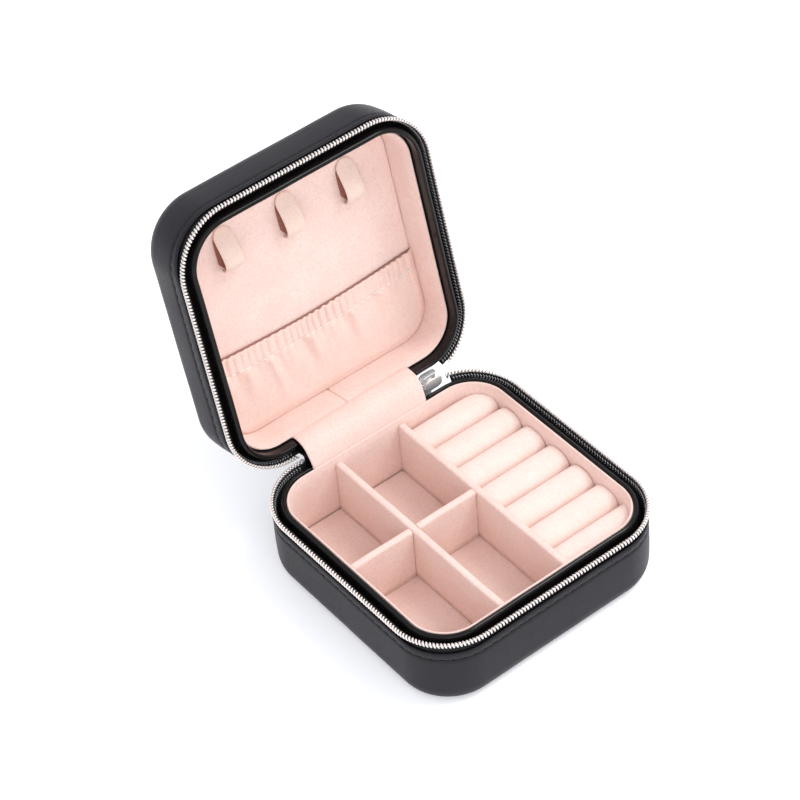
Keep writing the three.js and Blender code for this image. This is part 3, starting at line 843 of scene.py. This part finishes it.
two_body(o, "velvet", (0, 43.9, 27.2), (0, 54.7, 32.9), "hinge_lining_base", "hinge_lining_lid")

lid_line = [tuple(opened(np.array([0, 48.85, z]))[1:]) for z in (29.0, 30.5, 33.0, 36.0, 39.0, 41.2)]
path, u = spline([(48.85, 14.0), (48.85, 18.0), (48.85, 22.0), (48.85, 25.4), (48.86, 26.9), (49.02, 27.62), (49.45, 27.95), (49.98, 27.92)] + lid_line, 120)
t = np.gradient(path, axis=0)
t /= np.linalg.norm(t, axis=1)[:, None]
nrm = np.stack([-t[:, 1], t[:, 0]], 1)
P = np.zeros((len(path), 96, 3))
mid, hw = (STRAP[0] + STRAP[1]) / 2, (STRAP[1] - STRAP[0]) / 2 - 0.2
taper = np.minimum(1.0, np.minimum(u, u[-1] - u) / 0.6 * 0.5 + 0.5)
end = np.minimum(u, u[-1] - u)
hw = hw - 3.0 + np.sqrt(9.0 - np.clip(3.0 - end, 0, None) ** 2)      # rounded corners
P[..., 0] = mid + hw[:, None] * xs[None] + 0.7 * ends[None]
P[..., 1:] = path[:, None, :] + ((0.27 * hs)[None] * taper[:, None] + lumps(P[..., 0], u[:, None] + 0 * P[..., 0], 97, 0.02, 15))[..., None] * nrm[:, None, :]
o = Geo().grid(P, False, True, U=u, caps=True).object("hinge_spine_leather", M_LEATHER_UV)
two_body(o, "leather", (0, 48.85, 26.9), (0, 50.4, 27.85), "hinge_spine_base", "hinge_spine_lid")


# ------------------------------------------------------------ necklace hooks
def hook(i, xc):
    """A velvet tab fixed at its rounded top; it stands off the panel further down and folds back to it."""
    path, u = spline([(-33.3, 43.72), (-31.4, 43.25), (-28.8, 42.1), (-26.0, 40.8), (-23.2, 39.8), (-20.9, 39.6), (-19.2, 40.4), (-18.3, 41.7), (-17.9, 42.7), (-18.0, 43.5)], 60)
    w = np.full(len(u), 3.55)
    top = np.clip(u / 3.9, 0, 1)
    w = w * np.sqrt(np.clip(1 - (1 - top) ** 2, 0.004, 1))
    fold = np.clip((u - (u[-1] - 5.5)) / 5.5, 0, 1)
    w = w * (1 - 0.10 * fold ** 1.5)
    lean = [0.35, 0.1, -0.2][i] * (u / u[-1]) ** 2
    P = strip(path, xc + lean, w, 0.4 * np.clip(0.5 + u / 2.0, 0.5, 1), n=40, side=0.55)
    k = (P[..., 0] - xc - lean[:, None]) / 3.55
    lift = np.clip(u / u[-1] * 1.3, 0, 1)[:, None]
    P[..., 2] += 0.35 * lift * np.clip(np.abs(k), 0, 1) ** 2       # the tab's edges curl slightly back
    o = Geo().grid(P, False, True, caps=True).object(f"necklace_hook_velvet_{i + 1}", M_TAB, lid=True)
    finish_piece(o, "lid", "velvet", f"necklace_hook_{i + 1}")
    # a dark brown ply flat on the panel under the tab: painted shade for the shaded space beneath the lifted tab
    line = np.column_stack([np.linspace(-31.6, -18.0, 24), np.full(24, 43.8)])
    w = 3.6 * np.sqrt(np.clip(1 - (1 - np.clip((line[:, 0] + 31.7) / 3.4, 0, 1)) ** 2, 0.02, 1)) * np.sqrt(np.clip((-17.9 - line[:, 0]) / 3.0, 0.05, 1))
    o = Geo().grid(strip(line, xc - 0.1, w, 0.16, n=32, side=0.5), False, True, caps=True).object(f"necklace_hook_shade_ply_{i + 1}", M_SHADE_BROWN, lid=True)
    finish_piece(o, "lid", "velvet")


for i, x in enumerate((-24.0, 0.5, 25.0)):
    hook(i, x)


# ------------------------------------------------------------ gathered pocket
def mouth(x):
    return 12.5 - 1.9 * (np.abs(x + 2) / 42) ** 1.6


def sewn(x):
    return 18.9 - 2.1 * (np.abs(x + 4) / 44) ** 1.6


def pleat(x):
    """Uneven gathers, about 2.6 mm apart; deeper towards the left and the middle."""
    ph = 2 * PI * (x / 2.65 + 0.22 * np.sin(x / 5.3 + 0.7) + 0.16 * np.sin(x / 2.9 + 2.0))
    depth = 0.62 + 0.26 * np.sin(x / 7.1 + 1.3) + 0.2 * np.sin(x / 3.7)
    return np.sin(ph), np.clip(depth, 0.25, 1.0), ph


def pocket_height(x, y):
    """Distance of the cloth's middle from the panel's face."""
    m, sw = mouth(x), sewn(x)
    wave_, depth, ph = pleat(x)
    fall = np.clip((y - sw) / 14.0, 0, 1)
    inside = np.clip((y - m) / (sw - m), 0, 1)
    above = (y < sw)
    amp = np.where(above, 0.34 * (0.55 + 0.45 * np.sin(PI * np.clip(inside, 0.08, 0.92))), 0.26 * np.exp(-(y - sw) / 2.6))
    h = 1.15 + 0.25 * inside + 0.75 * np.sin(PI * np.clip((y - sw) / 23.0, 0, 1)) ** 0.8
    h = h + 1.3 * amp * depth * (wave_ + 0.25 * np.sin(2 * ph + 0.6)) + 0.4 * np.exp(-np.clip(y - m, 0, None) / 1.6)
    h = h - 0.20 * np.exp(-((y - sw) / 0.5) ** 2)
    # long soft folds that run down from the sewn line and fade out
    for x0, slope, wdt, amp_, reach in (
        (-37.5, 0.10, 1.5, 0.55, 12), (-33.0, 0.02, 1.8, -0.55, 14), (-29.2, 0.05, 1.3, 0.6, 15), (-25.0, 0.06, 1.7, -0.5, 13), (-20.0, 0.16, 1.1, 0.8, 21), (-17.2, 0.18, 1.4, -0.5, 18),
        (-12.2, 0.10, 1.5, 0.45, 10), (-6.5, 0.16, 1.5, -0.95, 18), (-3.4, 0.17, 1.2, 0.6, 12), (1.6, 0.10, 1.2, -0.3, 9), (4.8, 0.12, 1.2, 0.4, 10), (10.2, 0.12, 1.7, -0.6, 15), (13.4, 0.13, 1.3, 0.75, 18),
        (18.6, 0.03, 2.0, -0.35, 12), (23.2, 0.10, 1.8, -0.7, 12), (27.0, 0.06, 2.0, 0.35, 10), (33.5, -0.05, 2.2, -0.35, 12)):
        d = np.clip(y - sw + 0.6, 0, None)
        along = np.clip(d / 1.8, 0, 1) * np.clip(1 - d / reach, 0, 1) ** 0.9
        h = h + 1.65 * amp_ * along * np.exp(-((x - x0 - slope * d) / (wdt * (1 + d / 22))) ** 2)
    h = 0.5 + 0.5 * ((h - 0.5) + np.sqrt((h - 0.5) ** 2 + 0.05))
    edge = np.clip((41.9 - y) / 3.0, 0, 1)
    h = 0.45 + (h - 0.45) * np.sqrt(edge)
    return h


def pocket():
    nx, ny = 430, 96
    t = np.linspace(0, 1, ny)
    sx = np.linspace(-1, 1, nx)
    c, R = INSERT + 0.2 - 11.95, 11.95
    X = np.zeros((nx, ny))
    Y = np.zeros((nx, ny))
    for j in range(ny):
        xm = 41.85 * sx
        y = mouth(xm) + (41.75 - mouth(xm)) * t[j]
        wdt = np.where(y > c, c + np.sqrt(np.clip(R ** 2 - (y - c) ** 2, 0, None)), 41.88)
        X[:, j], Y[:, j] = sx * wdt, y
    scallop = 0.13 * pleat(X)[0] * np.exp(-(Y - mouth(X)) / 1.2) * pleat(X)[1]
    Yv = Y + scallop
    H = pocket_height(X, Y)
    side = np.clip((1 - np.abs(sx)) * 42 / 2.2, 0, 1)[:, None] ** 0.5
    H = 0.45 + (H - 0.45) * side
    th = 0.30
    dHx = np.gradient(H, axis=0) / np.maximum(np.gradient(X, axis=0), 1e-3)
    dHy = np.gradient(H, axis=1) / np.maximum(np.gradient(Y, axis=1), 1e-3)
    n = np.stack([-dHx, -dHy, np.ones_like(H)], -1)
    n /= np.linalg.norm(n, axis=2)[..., None]
    S = np.stack([X, Yv, H], -1)
    front, back = S + th * n, S - th * n
    back[..., 2] = np.maximum(back[..., 2], 0.04)
    front[..., 0] = np.clip(front[..., 0], -41.93, 41.93)
    lip = S[:, :1] + np.array([0, -0.24, 0])       # rolled mouth
    G = np.concatenate([lip + th * 0.75 * n[:, :1], front, back[:, ::-1], lip - th * 0.75 * n[:, :1]], 1)
    G[..., 2] = 44.0 - G[..., 2]
    o = Geo().grid(G, False, True, caps=True).object("pocket_gathered_velvet", M_POCKET, lid=True)
    finish_piece(o, "lid", "velvet", "lid_pocket")
    # the sewn line, in white thread
    g = Geo()
    xs_ = np.arange(-39.6, 40.4, 2.9)
    O, T = [], []
    for x in xs_:
        xa, xb = x - 0.75, x + 0.75
        pts = [np.array([v, sewn(v), 44.0 - (pocket_height(np.array(v), np.array(sewn(v))) + 0.46)]) for v in (xa, xb)]
        O.append((pts[0] + pts[1]) / 2)
        T.append((pts[1] - pts[0]) / np.linalg.norm(pts[1] - pts[0]))
    O, T = np.array(O), np.array(T)
    N = np.tile([0.0, 0.0, -1.0], (len(O), 1))
    B = np.cross(N, T)
    B /= np.linalg.norm(B, axis=1)[:, None]
    N = np.cross(T, B)
    g.stamp(capsule(1.8, 0.23, 0.8, bow=0.1), O, T, B, N)
    st = finish_piece(g.object("pocket_sewn_line", M_WHITE, lid=True), "lid", "velvet")
    # the elastic inside the mouth, coloured dark brown: a thin line of painted shade along the mouth's gap
    x = np.linspace(-41.2, 41.2, 240)
    cord = np.column_stack([x, mouth(x) - 0.30, 44.0 - (0.42 + 0.08 * pleat(x)[0])])
    v = np.arange(8) * 2 * PI / 8
    tube = cord[:, None] + 0.16 * (np.cos(v)[None, :, None] * np.array([0, 1.0, 0]) + np.sin(v)[None, :, None] * np.array([0, 0, 1.0]))
    el = finish_piece(Geo().grid(tube, False, True, caps=True).object("pocket_mouth_elastic_shade", M_SHADE_BROWN, lid=True), "lid", "velvet")
    return o, st, el


pocket_cloth, pocket_line, pocket_mouth_shade_cord = pocket()


# ------------------------------------------------------------ slider, pull and end stop
def slab(outline2, plane, lo, hi, bevel, hole=None):
    """A flat metal part with rounded edges: an outline in X,Z given a thickness in Y."""
    n = len(outline2)
    O = np.asarray(outline2, float)
    t = np.roll(O, -1, 0) - np.roll(O, 1, 0)
    t /= np.linalg.norm(t, axis=1)[:, None]
    nr = np.stack([t[:, 1], -t[:, 0]], 1)
    area = 0.5 * np.sum(O[:, 0] * np.roll(O[:, 1], -1) - np.roll(O[:, 0], -1) * O[:, 1])
    nr *= 1 if area > 0 else -1
    rows = []
    for a in np.linspace(0, PI / 2, 5):
        rows.append((-bevel * (1 - math.sin(a)), lo + bevel * (1 - math.cos(a))))
    for a in np.linspace(PI / 2, 0, 5):
        rows.append((-bevel * (1 - math.sin(a)), hi - bevel * (1 - math.cos(a))))
    G = np.zeros((n, len(rows), 3))
    for j, (ins, y) in enumerate(rows):
        xz = O + nr * ins
        G[:, j, 0], G[:, j, 2], G[:, j, 1] = xz[:, 0], xz[:, 1], y
    return G


def rounded(x0, x1, z0, z1, r, n=6):
    out = []
    for cx, cz, a in ((x1 - r, z0 + r, -90), (x1 - r, z1 - r, 0), (x0 + r, z1 - r, 90), (x0 + r, z0 + r, 180)):
        for k in np.radians(np.linspace(a, a + 90, n + 1)):
            out.append((cx + r * math.cos(k), cz + r * math.sin(k)))
    return out


def rod(p0, p1, r, sides=18, bevel=0.12):
    p0, p1 = np.array(p0, float), np.array(p1, float)
    d = p1 - p0
    L = np.linalg.norm(d)
    d /= L
    a = np.cross(d, [0.0, 0.0, 1.0] if abs(d[2]) < 0.9 else [1.0, 0.0, 0.0])
    a /= np.linalg.norm(a)
    b = np.cross(d, a)
    v = np.arange(sides) * 2 * PI / sides
    rows = [(0, r - bevel), (bevel * 0.3, r - bevel * 0.3), (bevel, r), (L - bevel, r), (L - bevel * 0.3, r - bevel * 0.3), (L, r - bevel)]
    return np.array([[p0 + d * s + rr * (math.cos(k) * a + math.sin(k) * b) for k in v] for s, rr in rows])


SX = 24.4
g = Geo()
shield = []
for k in np.linspace(0, 2 * PI, 48, endpoint=False):
    c_, s_ = math.cos(k), math.sin(k)
    x = SX + 3.5 + 3.45 * np.sign(c_) * abs(c_) ** 0.55
    w = 2.62 * (1 - 0.06 * (x - SX) / 7)
    shield.append((x, 27.6 + w * np.sign(s_) * abs(s_) ** 0.6))
g.grid(slab(shield, "xz", 50.5, 51.2, 0.22), True, False, caps=True)
inner = [(x, 27.6 + (z - 27.6) * 0.92) for x, z in shield]
g.grid(slab(inner, "xz", 46.95, 47.48, 0.2), True, False, caps=True)
g.grid(slab(rounded(SX + 0.35, SX + 2.6, 27.3, 27.95, 0.3), "xz", 47.3, 50.7, 0.05), True, False, caps=True)
for zlo, zhi in ((24.98, 25.3), (29.88, 30.2)):
    g.grid(slab(rounded(SX + 0.75, SX + 6.3, zlo, zhi, 0.12), "xz", 48.75, 50.8, 0.08), True, False, caps=True)
for x0 in (SX + 1.2, SX + 4.9):
    lug = rounded(x0, x0 + 0.9, 0, 1, 0.2)
    sec = np.array([[51.0, 24.95], [51.0, 26.3], [51.7, 26.35], [52.6, 26.0], [53.0, 25.4], [52.7, 24.95], [52.2, 24.85], [51.6, 24.85]])
    G = np.zeros((4, len(sec), 3))
    cen = sec.mean(0)
    for j, (x, f) in enumerate(((x0, 0.86), (x0 + 0.1, 1.0), (x0 + 0.8, 1.0), (x0 + 0.9, 0.86))):
        G[j, :, 0] = x
        G[j, :, 1:] = cen + (sec - cen) * f
    g.grid(G, False, True, caps=True)
g.grid(slab(rounded(SX + 1.1, SX + 5.9, 24.9, 26.0, 0.3), "xz", 50.62, 51.22, 0.12), True, False, caps=True)
g.grid(rod((SX + 1.3, 52.4, 25.4), (SX + 5.7, 52.4, 25.4), 0.42), False, True, caps=True)
slider = g.object("zip_slider_polished", M_METAL, sharp=50)
finish_piece(slider, "slider", "zip_metal", "zip_slider")

g = Geo()
eye = []
for k in range(28):
    a_ = 2 * PI * k / 28
    row = []
    for m_ in range(14):
        b_ = 2 * PI * m_ / 14
        rr = 0.98 + 0.2 * np.sign(math.cos(b_)) * abs(math.cos(b_)) ** 0.6
        row.append((SX + 3.5 + 1.0 * np.sign(math.sin(b_)) * abs(math.sin(b_)) ** 0.6, 52.4 + rr * math.cos(a_), 25.4 + rr * math.sin(a_)))
    eye.append(row)
g.grid(np.array(eye), True, True)
tab = []
zs = [(24.4, 1.0), (23.2, 0.95), (22.0, 1.0), (21.2, 1.5), (20.6, 2.1), (19.5, 2.42), (17.0, 2.5), (13.0, 2.5), (11.0, 2.45), (9.9, 2.15), (9.25, 1.5), (9.02, 0.7)]
tab = [(SX + 3.5 + w, z) for z, w in zs] + [(SX + 3.5 - w, z) for z, w in zs[::-1]]
tabc, _ = spline([(x, z) for x, z in tab] + [tab[0]], 90)
g.grid(slab(tabc[:-1], "xz", 51.97, 52.83, 0.25), True, False, caps=True)
pull = g.object("zip_pull_polished", M_METAL, sharp=50)
finish_piece(pull, "pull", "zip_metal", "zip_pull")

g = Geo()
g.grid(slab(rounded(-26.3, -25.35, 25.75, 27.15, 0.3), "xz", 48.15, 49.3, 0.22), True, False, caps=True)
finish_piece(g.object("zip_end_stop_polished", M_METAL), "base", "zip_metal", "zip_end_stop")

# ------------------------------------------------------------ hidden boards keep their CAD shape
for nm in ("base_bottom_board", "base_side_board", "lid_top_board", "lid_side_board", "lid_panel_board", "ring_roll_tray"):
    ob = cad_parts[nm]
    ob.data.materials.clear()
    ob.data.materials.append(M_BOARD)

# ------------------------------------------------------------ floor, light, camera
floor_mat, nt, b = material("studio_floor", (0.94, 0.94, 0.945), 0.8, spec=0.1)
b.inputs["Emission Color"].default_value = (0.95, 0.95, 1.0, 1)
b.inputs["Emission Strength"].default_value = 0.30
nt.links.new(blend_color(nt, spread(nt, noise(nt, coords(nt), 3.0, 2.0), 0.0, 1.0, 0.3, 0.7), (0.935, 0.935, 0.945), (0.945, 0.945, 0.955)), b.inputs["Base Color"])
me = bpy.data.meshes.new("studio_floor")
me.from_pydata([(-4, -4, -0.0002), (4, -4, -0.0002), (4, 4, -0.0002), (-4, 4, -0.0002)], [], [(0, 1, 2, 3)])
me.materials.append(floor_mat)
floor = bpy.data.objects.new("studio_floor", me)
bpy.context.scene.collection.objects.link(floor)

world = bpy.data.worlds.new("studio")
bpy.context.scene.world = world
world.use_nodes = True
bg = world.node_tree.nodes["Background"]
bg.inputs["Color"].default_value = (0.95, 0.965, 1.0, 1)
bg.inputs["Strength"].default_value = 1.0


def softbox(name, at, target, size, power, color):
    l = bpy.data.lights.new(name, "AREA")
    l.shape = "RECTANGLE"
    l.size, l.size_y = size
    l.energy = power
    l.color = color
    ob = bpy.data.objects.new(name, l)
    ob.location = at
    ob.rotation_euler = (Vector(target) - Vector(at)).to_track_quat("-Z", "Y").to_euler()
    bpy.context.scene.collection.objects.link(ob)
    return ob


softbox("key", (0.75, -0.35, 1.35), (0, 0, 0.04), (0.55, 0.55), 8.5, (1.0, 0.985, 0.965))
softbox("front", (-0.35, -1.25, 0.95), (0, 0, 0.05), (1.2, 0.8), 4.0, (1.0, 0.99, 0.98))

sc = bpy.context.scene
sc.view_settings.view_transform = "Standard"
sc.view_settings.look = "None"
sc.view_settings.exposure = 0.0
sc.view_settings.gamma = 1.0

cam = bpy.data.cameras.new("camera")
cam.sensor_fit = "HORIZONTAL"
cam.sensor_width = 36.0
cam.lens = 136.2454
cam.clip_start, cam.clip_end = 0.05, 20.0
cam_ob = bpy.data.objects.new("camera", cam)
az, el, roll = (math.radians(v) for v in (-34.79546, 44.21155, 5.36704))
back = Vector((math.sin(az) * math.cos(el), -math.cos(az) * math.cos(el), math.sin(el)))
z = -back
x = z.cross(Vector((0, 0, 1))).normalized()
y = z.cross(x)
x2 = x * math.cos(roll) + y * math.sin(roll)
y2 = -x * math.sin(roll) + y * math.cos(roll)
M = Matrix((x2, -y2, back)).transposed().to_4x4()
M.translation = Vector((-0.3947603, -0.5406611, 0.7257077))
cam_ob.matrix_world = M
sc.collection.objects.link(cam_ob)
sc.camera = cam_ob
